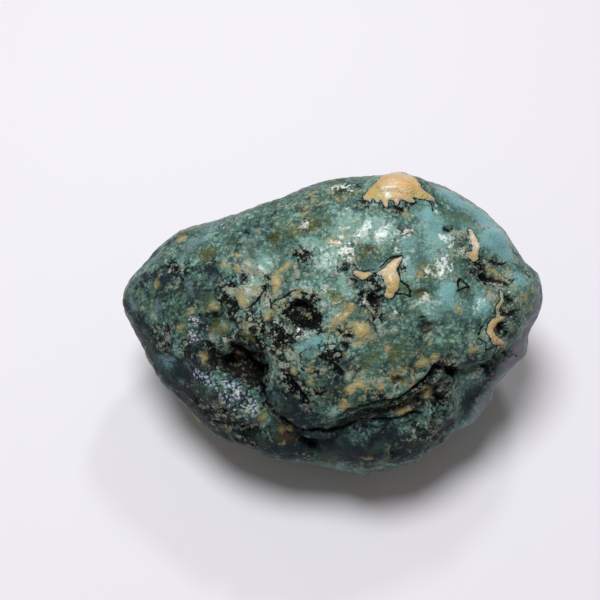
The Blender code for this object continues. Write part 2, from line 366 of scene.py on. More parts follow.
# Painted highlights: soft pale blue blots, blurred glints near the tip
BLURRED_GLINTS = (
    ((130, 292, 3.4),),
    ((134, 307, 3.6), (130, 301, 2)),
    ((182, 257, 4),),
    ((155, 258, 3.2),),
    ((189, 246, 3.4), (202, 240, 3.6)),
    ((204, 232, 3), (213, 229, 3)),
    ((166, 272, 2.4),),
    ((150, 283, 2.4),),
    ((176, 278, 2.2),),
    ((178, 268, 2),),
    ((166, 341, 3.4),),
    ((164, 357, 4), (173, 360, 3)),
    ((188, 365, 2.6),),
    ((180, 383, 2.4),),
    ((142, 330, 2.4),),
    ((150, 316, 2.4), (158, 306, 2)),
    ((189, 284, 1.6), (191, 292, 1.6)),
    ((212, 280, 1.8),),
    ((529, 285, 3),),
    ((258, 424, 3),),
)
# Painted highlights: white glints of the lamps on the wet surface, laid into the colour, the ochre cap and
# the beak included
PAINTED_GLINTS = (
    ((331, 189, 2), (339, 186, 3), (347, 187, 3), (350, 192, 2.4)),
    ((344, 197, 1.4),),
    ((472, 236, 1.6),),
    ((476, 247, 1.8),),
    ((346, 212, 2.2), (342, 217, 2.2)),
    ((306, 222, 3),),
    ((368, 223, 3.6), (366, 230, 2)),
    ((384, 232, 5), (378, 242, 3)),
    ((360, 234, 2), (356, 241, 2.4)),
    ((348, 246, 4), (347, 256, 5)),
    ((335, 241, 3.4),),
    ((394, 241, 2), (398, 247, 1.4)),
    ((444, 240, 4.4), (451, 239, 4.4), (449, 245, 4.4)),
    ((441, 262, 4.4), (448, 260, 5), (437, 268, 3.6), (450, 266, 3)),
    ((428, 272, 2.4), (440, 274, 1.8)),
    ((457, 253, 2.4), (463, 251, 1.8)),
    ((195, 321, 2.4),),
    ((191, 333, 2.4), (197, 337, 2.4)),
    ((237, 392, 2), (246, 404, 3), (250, 409, 2.4)),
    ((438, 209, 2.6),),
    ((398, 229, 2), (405, 231, 2), (412, 230, 2)),
    ((368, 251, 1.6), (375, 250, 1.6)),
    ((391, 181, 2.8), (396, 182, 2.4)),
    ((384, 188, 1.8),),
    ((404, 192, 2.6),),
    ((387, 194, 2),),
    ((386, 274, 2.2),),
    ((296, 335, 0.8), (302, 332, 1.2), (307, 333, 1.4)),
    ((420, 305, 1), (427, 299, 1.2), (429, 293, 0.8)),
    ((497, 285, 1.6), (503, 288, 1.4)),
    ((509, 291, 1.4),),
    ((468, 376, 1), (474, 374.5, 1.2), (480, 372, 1)),
    ((396, 386, 1),),
    ((365, 303, 1.4),),
    ((397, 312, 1.2),),
    ((476, 313, 1.4), (482, 303, 1.4)),
    ((323, 288, 1.6),),
)
# Pale zones, partly painted light: the upper side and the highlight clusters lighter as where the lamp falls
# most, partly the stone's paler teal
PALE_AND_LIT_ZONES = (
    ((345, 230, 16), (375, 232, 18), (395, 240, 12)),
    ((335, 255, 16), (310, 240, 10)),
    ((440, 250, 12), (446, 264, 10)),
    ((405, 262, 4), (420, 300, 8)),
    ((316, 340, 8), (334, 346, 8)),
    ((450, 195, 14), (480, 212, 18), (498, 236, 18), (508, 254, 12)),
    ((520, 280, 10),),
    ((392, 187, 6),),
    ((462, 369, 3), (478, 371, 3)),
    ((340, 290, 8), (330, 320, 6)),
    ((486, 309, 6), (478, 289, 5)),
    ((166, 361, 5),),
    ((430, 215, 12), (455, 300, 10)),
    ((262, 266, 10), (250, 285, 8)),
    ((471, 232, 9), (476, 247, 8)),
    ((389, 270, 9),),
    ((300, 346, 8),),
)
SMOOTH_ZONES = (
    ((440, 190, 6), (456, 202, 10), (478, 216, 11), (496, 236, 13), (506, 252, 8)),
    ((428, 215, 9), (434, 232, 8), (466, 218, 10), (488, 240, 14)),
    ((414, 246, 9), (424, 256, 8), (412, 270, 6)),
    ((518, 279, 8),),
    ((448, 290, 8), (440, 312, 8)),
    ((478, 298, 5), (486, 309, 5), (470, 312, 4)),
    ((466, 388, 9), (470, 402, 10), (456, 414, 6)),
    ((275, 399, 7), (286, 411, 7), (297, 421, 5)),
    ((209, 395, 7),),
    ((330, 446, 8), (370, 453, 9), (400, 456, 5)),
    ((367, 264, 5), (374, 266, 4)),
    ((302, 346, 6), (318, 341, 6)),
    ((535, 322, 4), (525, 348, 6), (510, 367, 7), (496, 386, 7), (478, 408, 7), (448, 436, 5)),
    ((160, 361, 4), (178, 384, 6)),
)
LACY_ZONES = (
    ((250, 318, 6), (254, 332, 7), (262, 346, 8), (276, 350, 6)),
    ((276, 328, 5), (284, 340, 6)),
    ((236, 320, 4), (244, 332, 5), (250, 344, 4)),
    ((280, 364, 5), (290, 374, 8), (300, 388, 8), (306, 400, 5)),
    ((224, 340, 5), (236, 336, 5), (246, 342, 5)),
    ((214, 412, 7), (230, 420, 8), (250, 426, 8), (240, 438, 6)),
    ((230, 286, 6), (240, 284, 5)),
    ((328, 346, 5), (336, 356, 6), (330, 366, 5)),
    ((366, 290, 5), (376, 300, 7), (378, 312, 6)),
    ((430, 384, 6), (444, 392, 8), (440, 408, 8)),
    ((420, 430, 8), (436, 436, 6)),
    ((498, 296, 5), (506, 304, 5), (508, 318, 4), (512, 330, 4)),
    ((452, 230, 4), (456, 240, 4)),
    ((480, 268, 4), (494, 274, 5), (504, 282, 4)),
    ((164, 346, 6), (156, 334, 5), (170, 328, 5)),
    ((186, 346, 6), (200, 352, 5)),
    ((172, 268, 6), (184, 270, 5)),
    ((296, 250, 5), (304, 256, 4)),
    ((302, 226, 5),),
)
# Murky hollows: dark crystals in the hollows, with painted shade deepening them
MURKY_SHADED_HOLLOWS = (
    ((212, 352, 6), (221, 361, 8), (233, 366, 11), (247, 369, 13), (260, 372, 11), (268, 366, 5)),
    ((251, 380, 9), (261, 388, 8), (265, 398, 7), (269, 408, 5), (278, 419, 4), (290, 430, 3)),
    ((236, 349, 6), (249, 352, 7), (262, 357, 7)),
    ((203, 314, 3), (214, 316, 3.4), (225, 314, 3.4)),
    ((293, 308, 2), (303, 309, 4), (312, 318, 3), (304, 323, 3)),
    ((434, 366, 2), (444, 370, 2.4), (454, 369, 1.6)),
    ((496, 358, 3), (505, 354, 4)),
    ((484, 277, 2.4), (492, 279, 2.4)),
    ((403, 209, 2.4),),
    ((343, 193, 3),),
    ((383, 397, 2.6), (386, 408, 1.6)),
    ((374, 299, 2.4),),
)
FLECKED_ZONES = (
    ((235, 262, 12), (250, 280, 20), (280, 290, 20), (330, 310, 20), (362, 330, 16)),
    ((246, 322, 10), (280, 340, 18), (300, 360, 20)),
    ((350, 385, 18), (385, 378, 16), (430, 362, 16), (470, 350, 12)),
    ((495, 300, 14), (492, 272, 12), (522, 300, 8)),
    ((360, 280, 12), (300, 210, 10), (335, 200, 8)),
    ((290, 420, 12), (235, 415, 14), (430, 396, 12)),
)
# Painted shade: the lower flanks and the left end made darker as where the light falls off, partly the
# stone's own deeper teal
PAINTED_SHADE_ZONES = (
    ((128, 305, 8), (138, 328, 14), (158, 356, 20), (188, 394, 24), (210, 425, 20)),
    ((145, 280, 7), (170, 286, 9), (198, 294, 9)),
    ((207, 264, 3), (214, 284, 4)),
    ((200, 318, 5), (208, 334, 6)),
    ((236, 318, 5), (246, 336, 6)),
    ((270, 395, 14), (290, 405, 16), (320, 440, 20)),
    ((220, 430, 18), (280, 450, 20), (340, 450, 22), (400, 448, 20), (440, 430, 20)),
    ((470, 400, 18), (490, 380, 10)),
    ((466, 361, 5), (482, 359, 5), (496, 352, 5)),
    ((330, 385, 10), (345, 362, 8)),
    ((232, 345, 12), (246, 370, 14)),
    ((440, 385, 12), (410, 408, 8)),
    ((200, 350, 14), (180, 380, 14), (215, 405, 14), (240, 420, 12)),
    ((345, 425, 10), (380, 415, 10)),
)
# Purple-grey bands low on the flank: partly the worn rind, partly painted sheen of light thrown up from the
# pale floor
GREY_SHEEN_BANDS = (
    ((537, 300, 7), (533, 322, 9), (523, 346, 11), (510, 366, 12), (495, 385, 11), (484, 401, 9)),
    ((484, 401, 9), (471, 416, 8), (456, 431, 6)),
    ((490, 398, 8), (482, 410, 9), (473, 423, 8), (462, 433, 5)),
)

# Crevices: strokes whose radius is the crevice's half-width; they are cut into the mesh, and black is
# painted into them as shade
CREVICES = (
    ((258, 388, 3), (265, 404, 3), (274, 415, 2.6), (284, 424, 2.4), (295, 431, 2.2), (305, 439, 1.8)),
    ((305, 439, 1.8), (313, 445, 1)),
    ((339, 418, 1), (350, 412, 1.6), (362, 408, 1.8), (376, 405, 1.8), (386, 403, 1.8), (398, 401, 1.8)),
    ((398, 401, 1.8), (410, 394, 1.8), (419, 387, 1.8), (429, 378, 2), (436, 369, 2.4), (443, 369, 3)),
    ((443, 369, 2), (452, 371, 1)),
    ((482, 366, 0.6), (489, 362, 1), (499, 357, 1.4)),
    ((301, 432, 0.8), (320, 431, 1.2), (339, 430, 1.4), (350, 426, 1.4), (365, 422, 1.6)),
    ((365, 422, 1.6), (380, 422, 1.6), (394, 421, 1.4), (410, 416, 1), (420, 414, 0.6)),
    ((426, 386, 1), (434, 396, 1.4), (446, 402, 1)),
    ((231, 345, 1.6), (246, 356, 2), (254, 370, 2), (258, 388, 2)),
    ((285, 372, 0.6), (294, 386, 1), (306, 401, 0.8)),
)
PIT_STROKES = (
    ((300, 310, 7), (306, 320, 6)),
    ((272, 241, 3.4),),
    ((371, 250, 4.4),),
    ((404, 229, 4.4),),
    ((417, 294, 4), (423, 295, 4)),
    ((425, 327, 4.4),),
    ((342, 193, 3.6),),
    ((449, 357, 2.6),),
    ((397, 381, 3),),
    ((236, 362, 9), (252, 372, 8)),
    ((484, 277, 4), (494, 279, 4)),
    ((501, 329, 3.4),),
    ((437, 271, 3),),
    ((374, 299, 4),),
    ((316, 226, 3.4),),
    ((245, 280, 3),),
    ((345, 267, 2.6),),
    ((509, 299, 3),),
    ((446, 228, 2.4),),
    ((270, 225, 3),),
    ((336, 297, 3),),
    ((452, 334, 3),),
    ((300, 385, 3),),
)
BOSSES = (
    ((384, 185, 8), (396, 183, 9), (408, 188, 7)),
    ((391, 276, 5), (391, 288, 4)),
    ((276, 400, 8), (286, 410, 8), (298, 420, 6)),
    ((468, 376, 3), (480, 372, 3)),
    ((222, 325, 5),),
    ((211, 394, 6),),
    ((414, 439, 5), (406, 443, 4)),
    ((490, 240, 10), (506, 238, 10), (514, 250, 9)),
    ((394, 331, 4),),
    ((380, 384, 5),),
    ((361, 333, 6),),
    ((518, 281, 6),),
    ((372, 279, 3),),
    ((377, 289, 3),),
    ((361, 291, 2.6),),
    ((267, 306, 4),),
    ((240, 356, 3),),
    ((225, 343, 4),),
)
SWELLS = (((485, 397, 3), (478, 405, 6), (468, 415, 6), (463, 420, 1)),)


class Kind(NamedTuple):
    """One kind of marking: its strokes, how freely they waver, and what is strewn over the unseen sides."""

    drawn: tuple
    waver: float
    count: int
    most_links: int
    radii: tuple


KINDS = {
    "raised_ochre": Kind(RAISED_OCHRE, 0.35, 16, 4, (1.5, 6.0)),
    "ochre": Kind(OCHRE_SPOTS, 1.0, 70, 2, (2.0, 4.6)),
    "cream": Kind(CREAM_SPOTS, 1.0, 55, 2, (1.8, 4.2)),
    "crust": Kind(BLACK_CRUST, 1.0, 75, 4, (1.6, 5.0)),
    "lines": Kind(BLACK_LINES, 0.7, 22, 4, (0.3, 0.5)),
    "olive": Kind(OLIVE_STAINS, 1.0, 26, 3, (3.0, 7.0)),
    "rust": Kind(RUST_STAINS, 1.0, 16, 1, (2.0, 4.4)),
    "frost": Kind(FROST, 1.0, 12, 2, (2.0, 4.4)),
    "blurred_glints": Kind(BLURRED_GLINTS, 1.0, 26, 2, (2.0, 4.0)),
    "painted_glints": Kind(PAINTED_GLINTS, 1.0, 30, 2, (1.4, 4.0)),
    "pale": Kind(PALE_AND_LIT_ZONES, 1.0, 12, 3, (10.0, 22.0)),
    "smooth": Kind(SMOOTH_ZONES, 1.0, 16, 4, (5.0, 12.0)),
    "flecked": Kind(FLECKED_ZONES, 1.0, 14, 4, (14.0, 26.0)),
    "lacy": Kind(LACY_ZONES, 1.0, 26, 4, (4.0, 8.0)),
    "painted_shade": Kind(PAINTED_SHADE_ZONES, 1.0, 9, 3, (12.0, 22.0)),
    "murky_shade": Kind(MURKY_SHADED_HOLLOWS, 1.0, 12, 3, (3.0, 8.0)),
    "grey": Kind(GREY_SHEEN_BANDS, 1.0, 5, 3, (6.0, 12.0)),
    "crevices": Kind(CREVICES, 0.7, 9, 6, (0.8, 2.0)),
    "pits": Kind(PIT_STROKES, 0.6, 26, 1, (3.0, 8.0)),
    "bosses": Kind(BOSSES, 0.3, 18, 2, (4.0, 9.0)),
    "swells": Kind(SWELLS, 0.3, 0, 1, (4.0, 9.0)),
}

# Strewn strokes: the pixels from point to point, how much they turn there, and how far a side leans away
# from the camera before they are strewn on it
STREWN_STEP = 9.0
STREWN_TURN = 0.5
SEEN_SLANT = -0.05
SEED = 31


class Border(NamedTuple):
    """A marking's border: how ragged it is, where it begins and where it is full, in millimetres."""

    ragged: float
    begins: float
    full: float


BORDERS = {
    "raised_ochre": Border(0.30, 0.06, -0.01),
    "ochre": Border(1.0, 0.24, -0.28),
    "cream": Border(1.0, 0.20, -0.24),
    "crust": Border(1.6, 0.14, -0.06),
    "lines": Border(0.20, 0.12, 0.02),
    "olive": Border(2.6, 0.50, -0.50),
    "rust": Border(1.6, 0.30, -0.30),
    "frost": Border(1.6, 0.30, -0.25),
    "blurred_glints": Border(1.2, 0.40, -0.40),
    "painted_glints": Border(1.8, 0.40, -0.30),
    "pale": Border(3.0, 1.30, -1.40),
    "smooth": Border(1.6, 0.80, -0.70),
    "flecked": Border(3.0, 1.30, -1.40),
    "lacy": Border(3.0, 0.60, -0.40),
    "painted_shade": Border(3.0, 1.30, -1.40),
    "murky_shade": Border(2.6, 0.40, -0.60),
    "grey": Border(3.2, 0.60, -0.60),
    "crevices": Border(0.70, 0.16, -0.04),
}

# Distances from strokes: where none is near, the least length of a stretch, and the farthest that the
# mesh keeps, in millimetres
FARTHEST = 20 * MM
SHORTEST_STRETCH = 0.01 * MM
KEPT_RANGE = 5.0

# What makes strokes waver: the size of the blots of smooth noise, and how far they carry a point
WAVERS = ((1.5 * MM, 0.30 * MM), (0.55 * MM, 0.16 * MM))

# The relief: how wide its forms are, how high or deep they are, and how soft their edges are
LUMP_SIZE = 3.1 * MM
DOME_SIZE = 1.5 * MM
GRAIN_SIZE = 0.7 * MM
CRYSTAL_SIZE = 0.72 * MM
CRUST_RISE = 0.24 * MM
CRUST_SINK = 0.20 * MM
FROST_RISE = 0.16 * MM
PIT_DEPTH = 0.42 * MM
HOLLOW_DEPTH = 0.70 * MM
BOSS_RISE = 0.22 * MM
SWELL_RISE = 1.15 * MM
CREVICE_FLANK = 0.20 * MM
EDGE = 0.10 * MM

# The material's noises: the size of their blots in millimetres, detail, roughness and distortion
CLOUD = (5.2, 3.0, 0.55)
MOTTLE = (1.5, 5.0, 0.62, 0.4)
WARM = (2.9, 2.0, 0.5)
FINE = (0.42, 3.0, 0.6)
SPECK = (0.19, 2.0, 0.6)
MOSS = (2.3, 4.0, 0.6)
GOLD_BLOTS = (1.7, 4.0, 0.66, 0.3)
GOLD_CRUMBS = (0.75, 3.0, 0.6, 0.2)

# The stage: half the floor's side, the even light's tint, and each lamp's width, place and tint
FLOOR_HALF = 1.5
SKY_TINT = (1.0, 0.91, 0.84, 1.0)
KEY = (0.12, (-0.04, 0.03, 0.31), (0.99, 0.99, 1.0))
GLINT = (0.035, (0.05, 0.18, 0.24), (1.0, 1.0, 1.0))

# The material's beads and lace cells, and the noise that bends them
BEAD_MM = 0.32
CELL_MM = 0.55
BEND_SIZE_MM = 0.8
BEND = 0.5 * MM


def colour(name, description, value):
    """A colour setting, linear, with full alpha."""
    return bpy.props.FloatVectorProperty(
        name=name, description=description, subtype="COLOR", size=4, min=0.0, max=1.0, default=(*value, 1.0)
    )


def length(name, description, value):
    """A length setting."""
    return bpy.props.FloatProperty(
        name=name, description=description, subtype="DISTANCE", unit="LENGTH", precision=5, default=value
    )


def factor(name, description, value):
    """A setting from 0 to 1."""
    return bpy.props.FloatProperty(name=name, description=description, min=0.0, max=1.0, default=value)


class StoneLooks(bpy.types.PropertyGroup):
    """Colours and fine relief of the stone."""

    # The lightest end of the teal tone: where the relief stands higher, in the pale zones and in the clouds
    light: colour("Light teal", "High, worn parts of the chalcedony", (0.22, 0.395, 0.345))
    mid: colour("Teal", "Most of the chalcedony", (0.065, 0.138, 0.118))
    deep: colour("Deep teal", "Darker clouds in the chalcedony", (0.008, 0.020, 0.021))
    # Laid where the stone is smooth and in the pale zones, so partly painted light
    blue: colour("Blue teal", "Smooth, pale parts of the chalcedony", (0.145, 0.365, 0.430))
    # Painted shade: cool grey laid over the shaded lower sides
    painted_shade_tint: colour("Dusk", "Cool grey of the dull lower sides", (0.034, 0.036, 0.052))
    # Painted highlight: the pale blue of the blurred glints
    blurred_glints: colour("Bloom", "Soft pale blue blots near the tip", (0.20, 0.31, 0.37))
    green: colour("Moss green", "Mossy clouds in the chalcedony", (0.072, 0.130, 0.075))
    olive: colour("Olive", "Olive stains", (0.120, 0.135, 0.030))
    gold: colour("Dusty gold", "Soft gold blots in the chalcedony", (0.34, 0.30, 0.14))
    ochre: colour("Ochre", "Yellow side of the ochre patches", (0.52, 0.38, 0.14))
    orange: colour("Orange ochre", "Orange side of the ochre patches", (0.70, 0.43, 0.19))
    bone: colour("Bone", "Palest part of the ochre patches", (0.66, 0.56, 0.40))
    cream: colour("Cream", "Cream spots and flecks", (0.34, 0.37, 0.285))
    # Also painted shade where it is laid into the crevices
    black: colour("Black", "Crystal crusts, lines and crevices", (0.003, 0.004, 0.005))
    # Partly painted shade: the brown-black laid on the floor of the hollows
    murk: colour("Murk", "Brown-black floor of the hollows", (0.012, 0.011, 0.009))
    rust: colour("Rust", "Rusty pits", (0.082, 0.043, 0.020))
    # Partly painted light: the lilac-white of the painted frost sparkle, also the pale beads of the ground
    frost: colour("Frost", "Sparkling lilac crystals", (0.42, 0.45, 0.60))
    # Painted highlight: the white of the painted glints
    white: colour("White", "Glittering white grains", (0.82, 0.86, 0.84))
    # Partly painted reflection: the lilac sheen of the floor's light on the low flank
    grey: colour("Purple grey", "Dull bands low on the flank", (0.200, 0.190, 0.240))
    gloss: factor("Roughness", "Roughness of the worn chalcedony", 0.42)
    shine: factor("Shine", "Strength of the chalcedony's own reflections", 0.06)
    wet: factor("Wet coat", "Weight of the waxy, wet-looking film", 0.55)
    lump_height: length("Lumps", "Height of the low lumps between the pits", 0.20 * MM)
    grain_height: length("Grain", "Height of the finest modelled grain", 0.06 * MM)
    crevice_depth: length("Crevices", "Depth that the crevices are cut to", 0.65 * MM)
    patch_height: length("Patches", "Height of the ochre patches above the stone", 0.14 * MM)


class StageLooks(bpy.types.PropertyGroup):
    """The floor and the lights."""

    floor: colour("Floor", "Plain pale floor", (0.82, 0.81, 0.87))
    key_power: bpy.props.FloatProperty(name="Key light", description="Power", unit="POWER", default=0.80)
    glint_power: bpy.props.FloatProperty(name="Glint light", description="Power", unit="POWER", default=0.14)
    sky: bpy.props.FloatProperty(name="Sky", description="Strength of the even warm light", default=0.18)


class Wire:
    """One output socket of a material. Arithmetic on it adds the Math nodes."""

    def __init__(self, board, socket):
        self.board = board
        self.socket = socket

    def _math(self, operation, first, second=0.0):
        return self.board.node("Math", {"operation": operation}, {0: first, 1: second})

    def __add__(self, other):
        return self._math("ADD", self, other)

    def __radd__(self, other):
        return self._math("ADD", other, self)

    def __sub__(self, other):
        return self._math("SUBTRACT", self, other)

    def __rsub__(self, other):
        return self._math("SUBTRACT", other, self)

    def __mul__(self, other):
        return self._math("MULTIPLY", self, other)

    def __rmul__(self, other):
        return self._math("MULTIPLY", other, self)


class Board:
    """A new material and the nodes on it."""

    def __init__(self, name):
        self.material = bpy.data.materials.new(name)
        self.material.use_nodes = True
        self.tree = self.material.node_tree
        self.tree.nodes.clear()
        self.place = self.node("TexCoord", out="Object")

    def node(self, kind, settings=None, values=None, out=0):
        """Adds a node: its settings come first, then a value or a wire for each of its sockets."""
        made = self.tree.nodes.new("ShaderNode" + kind)
        for name, value in (settings or {}).items():
            setattr(made, name, value)
        for key, value in (values or {}).items():
            if isinstance(value, Wire):
                self.tree.links.new(value.socket, made.inputs[key])
            else:
                made.inputs[key].default_value = value
        return Wire(self, made.outputs[out]) if made.outputs else None

    def grain(self, size_mm, detail=2.0, roughness=0.5, distortion=0.0):
        """Even noise whose blots are about that large, round 0.5."""
        values = {"Vector": self.place, "Scale": 1000.0 / size_mm, "Detail": detail}
        values |= {"Roughness": roughness, "Distortion": distortion}
        return self.node("TexNoise", None, values, "Fac")

    def step(self, value, low, high):
        """0 at low, 1 at high, and an easy rise between, in either direction."""
        rise = high > low
        ends = {"From Min": low if rise else high, "From Max": high if rise else low}
        ends |= {"To Min": 0.0 if rise else 1.0, "To Max": 1.0 if rise else 0.0}
        return self.node("MapRange", {"interpolation_type": "SMOOTHSTEP"}, {"Value": value} | ends)

    def mix(self, share, first, second):
        """The first colour going over to the second as the share goes from 0 to 1."""
        settings = {"data_type": "RGBA", "clamp_factor": True}
        return self.node("Mix", settings, {0: share, 6: first, 7: second}, 2)

    def end(self, shader):
        """Makes that shader the material's surface."""
        self.node("OutputMaterial", None, {"Surface": shader})
        return self.material


def smooth_step(value, low, high):
    """0 below low, 1 above high, and an easy rise between."""
    t = np.clip((value - low) / (high - low), 0.0, 1.0)
    return t * t * (3 - 2 * t)


def camera_axes():
    """The camera's place, and its directions to the right, up and back."""
    back = Vector((0, -math.cos(CAMERA_ELEVATION), math.sin(CAMERA_ELEVATION)))
    up = Vector((0, math.sin(CAMERA_ELEVATION), math.cos(CAMERA_ELEVATION)))
    return CAMERA_AIM + back * CAMERA_DISTANCE, Vector((1, 0, 0)), up, back


def lay_down(tree, x, y):
    """The point of the surface under one pixel of the photograph, or the nearest to it past the edge."""
    eye, right, up, back = camera_axes()
    middle = IMAGE_SIDE / 2
    ray = (right * (x - middle) - up * (y - middle) - back * FOCAL_PIXELS).normalized()
    hit = tree.ray_cast(eye, ray)[0]
    return hit or tree.find_nearest(eye + ray * CAMERA_DISTANCE)[0]


def drawn_strokes(tree, strokes):
    """The drawn strokes as chains of (point, radius) on the stone."""
    return [[(lay_down(tree, x, y), radius * PIXEL) for x, y, radius in stroke] for stroke in strokes]


def strewn_strokes(tree, hidden, draw, kind):
    """Strokes of the same kind, wandering over the sides that the photograph doesn't show."""
    strokes = []
    for _ in range(kind.count):
        point = Vector(hidden[draw.randrange(len(hidden))])
        way = Vector((draw.gauss(0, 1), draw.gauss(0, 1), draw.gauss(0, 1))).normalized()
        chain = []
        for _ in range(draw.randint(1, kind.most_links)):
            chain.append((point, draw.uniform(*kind.radii) * PIXEL))
            turn = Vector((draw.gauss(0, 1), draw.gauss(0, 1), draw.gauss(0, 1)))
            way = (way + STREWN_TURN * turn).normalized()
            point = tree.find_nearest(point + way * STREWN_STEP * PIXEL)[0]
        strokes.append(chain)
    return strokes


def stroke_field(points, strokes):
    """How far each point is from the nearest stroke, in metres, and less than 0 inside one."""
    nearest = np.full(len(points), FARTHEST)
    for stroke in strokes:
        for (start, start_radius), (end, end_radius) in zip(stroke, stroke[1:] or stroke):
            start = np.array(start)
            along = np.array(end) - start
            span = max(along @ along, SHORTEST_STRETCH**2)
            away = points - start
            share = np.clip(away @ along / span, 0.0, 1.0)
            away -= share[:, None] * along
            reach = start_radius + share * (end_radius - start_radius)
            nearest = np.minimum(nearest, np.sqrt((away * away).sum(1)) - reach)
    return nearest


def cast_ball(tree, middle):
    """A ball of cells, finer towards the camera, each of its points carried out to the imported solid."""
    front = camera_axes()[3]
    ball = bmesh.new()
    bmesh.ops.create_cube(ball, size=2.0)
    bmesh.ops.subdivide_edges(ball, edges=ball.edges[:], cuts=CELLS_PER_SIDE - 1, use_grid_fill=True)
    for vert in ball.verts:
        way = Vector(math.tan(x * math.pi / 4) for x in vert.co).normalized()
        vert.co = tree.ray_cast(middle, way + FRONT_PULL * front)[0]
    for _ in range(WEAR_PASSES):
        bmesh.ops.smooth_vert(
            ball, verts=ball.verts, factor=WEAR, use_axis_x=True, use_axis_y=True, use_axis_z=True
        )
    return ball


def merged_tree(node):
    """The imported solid, its loose triangles joined, ready to cast rays at."""
    solid = bmesh.new()
    solid.from_mesh(node.data)
    bmesh.ops.remove_doubles(solid, verts=solid.verts, dist=MERGE_REACH)
    tree = BVHTree.FromBMesh(solid)
    solid.free()
    return tree


def waver_of(points):
    """How far aside each point is carried, so that what is measured from it comes out uneven."""
    # Unseeded, the vectors of this noise depend on the clock
    noise.seed_set(SEED)
    carry = np.zeros_like(points)
    for size, reach in WAVERS:
        carry += reach * np.array([noise.noise_vector(Vector(p) / size) for p in points])
    return carry


def noise_field(points, size, octaves):
    """Smooth noise with blots about that large, roughly -1 to 1."""
    return np.array([noise.fractal(Vector(p) / size, 1.0, 2.0, octaves) for p in points])


def dome_field(points, size):
    """Close-set low domes about that wide, 1 at the top of each and 0 between them."""
    gaps = np.array([noise.voronoi(Vector(p) / size)[0][0] for p in points])
    return 1 - np.clip(gaps / 0.75, 0.0, 1.0) ** 2


def relief(points, fields, looks):
    """How far each point stands out of the worn surface, from all that the strokes and the grain add."""
    lumps = noise_field(points, LUMP_SIZE, 3)
    domes = dome_field(points, DOME_SIZE)
    grain = noise_field(points, GRAIN_SIZE, 2)
    crystals = dome_field(points, CRYSTAL_SIZE)
    rough = 1 - 0.6 * smooth_step(-np.minimum(fields["bosses"], fields["smooth"]), -2 * EDGE, 3 * EDGE)
    rise = looks.lump_height * (0.75 * lumps + 0.55 * (domes - 0.5)) * rough
    rise += looks.grain_height * grain * rough
    ochre = smooth_step(-fields["raised_ochre"] + 0.3 * EDGE * grain, -EDGE, EDGE)
    rise += looks.patch_height * ochre
    spots = smooth_step(-np.minimum(fields["ochre"], fields["cream"]), -EDGE, 1.5 * EDGE)
    rise += 0.35 * looks.patch_height * spots
    crust = smooth_step(-fields["crust"] + 0.6 * EDGE * grain, -EDGE, EDGE) * (1 - ochre)
    rise += crust * (CRUST_RISE * crystals - CRUST_SINK)
    rise += FROST_RISE * smooth_step(-fields["frost"], -2 * EDGE, EDGE) * (crystals - 0.4)
    rise -= PIT_DEPTH * smooth_step(-fields["pits"], -4.5 * EDGE, 4 * EDGE)
    rise -= HOLLOW_DEPTH * smooth_step(-fields["murky_shade"] + 1.5 * EDGE * (grain + lumps), 0.0, 9 * EDGE)
    rise += BOSS_RISE * smooth_step(-fields["bosses"], -3 * EDGE, 5 * EDGE)
    rise += SWELL_RISE * smooth_step(-fields["swells"], -15 * EDGE, 6 * EDGE)
    crevice = np.exp(-((np.maximum(fields["crevices"], 0.0) / CREVICE_FLANK) ** 2))
    rise -= looks.crevice_depth * crevice
    return rise


def keep_fields(mesh, fields):
    """Stores each field on the mesh, a value for each point."""
    for name, values in fields.items():
        kept = mesh.attributes.new(name, "FLOAT", "POINT")
        kept.data.foreach_set("value", values.astype(np.float32))


def make_stone_mesh(looks):
    """The stone's mesh in its final shape, with the fields that its material reads."""
    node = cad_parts["moss_agate"]
    tree = merged_tree(node)
    low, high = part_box("moss_agate")
    ball = cast_ball(tree, (low + high) / 2)
    ball.normal_update()
    points = np.array([vert.co[:] for vert in ball.verts])
    normals = np.array([vert.normal[:] for vert in ball.verts])
    if (normals * (points - points.mean(0))).sum() < 0:
        bmesh.ops.reverse_faces(ball, faces=ball.faces)
        normals = -normals
    eye = np.array(camera_axes()[0])
    ways = eye - points
    ways /= np.sqrt((ways * ways).sum(1))[:, None]
    hidden = points[((normals * ways).sum(1) < SEEN_SLANT) & (points[:, 2] > BASE_KEEP)]
    draw = random.Random(SEED)
    waver = waver_of(points)
    fields = {}
    for name, kind in KINDS.items():
        laid = drawn_strokes(tree, kind.drawn) + strewn_strokes(tree, hidden, draw, kind)
        fields[name] = stroke_field(points + kind.waver * waver, laid)
    rise = relief(points, fields, looks) * smooth_step(points[:, 2], 0.0, BASE_KEEP)
    placed = points + normals * rise[:, None]
    placed[:, 2] = np.maximum(placed[:, 2], 0.0)
    for vert, place in zip(ball.verts, placed):
        vert.co = place
    bmesh.ops.recalc_face_normals(ball, faces=ball.faces)
    mesh = bpy.data.meshes.new("moss_agate_stone")
    ball.to_mesh(mesh)
    ball.free()
    mesh.shade_smooth()
    kept = {name: np.clip(values / MM, -KEPT_RANGE, KEPT_RANGE) for name, values in fields.items()}
    kept["rise"] = rise / MM
    keep_fields(mesh, kept)
    return mesh


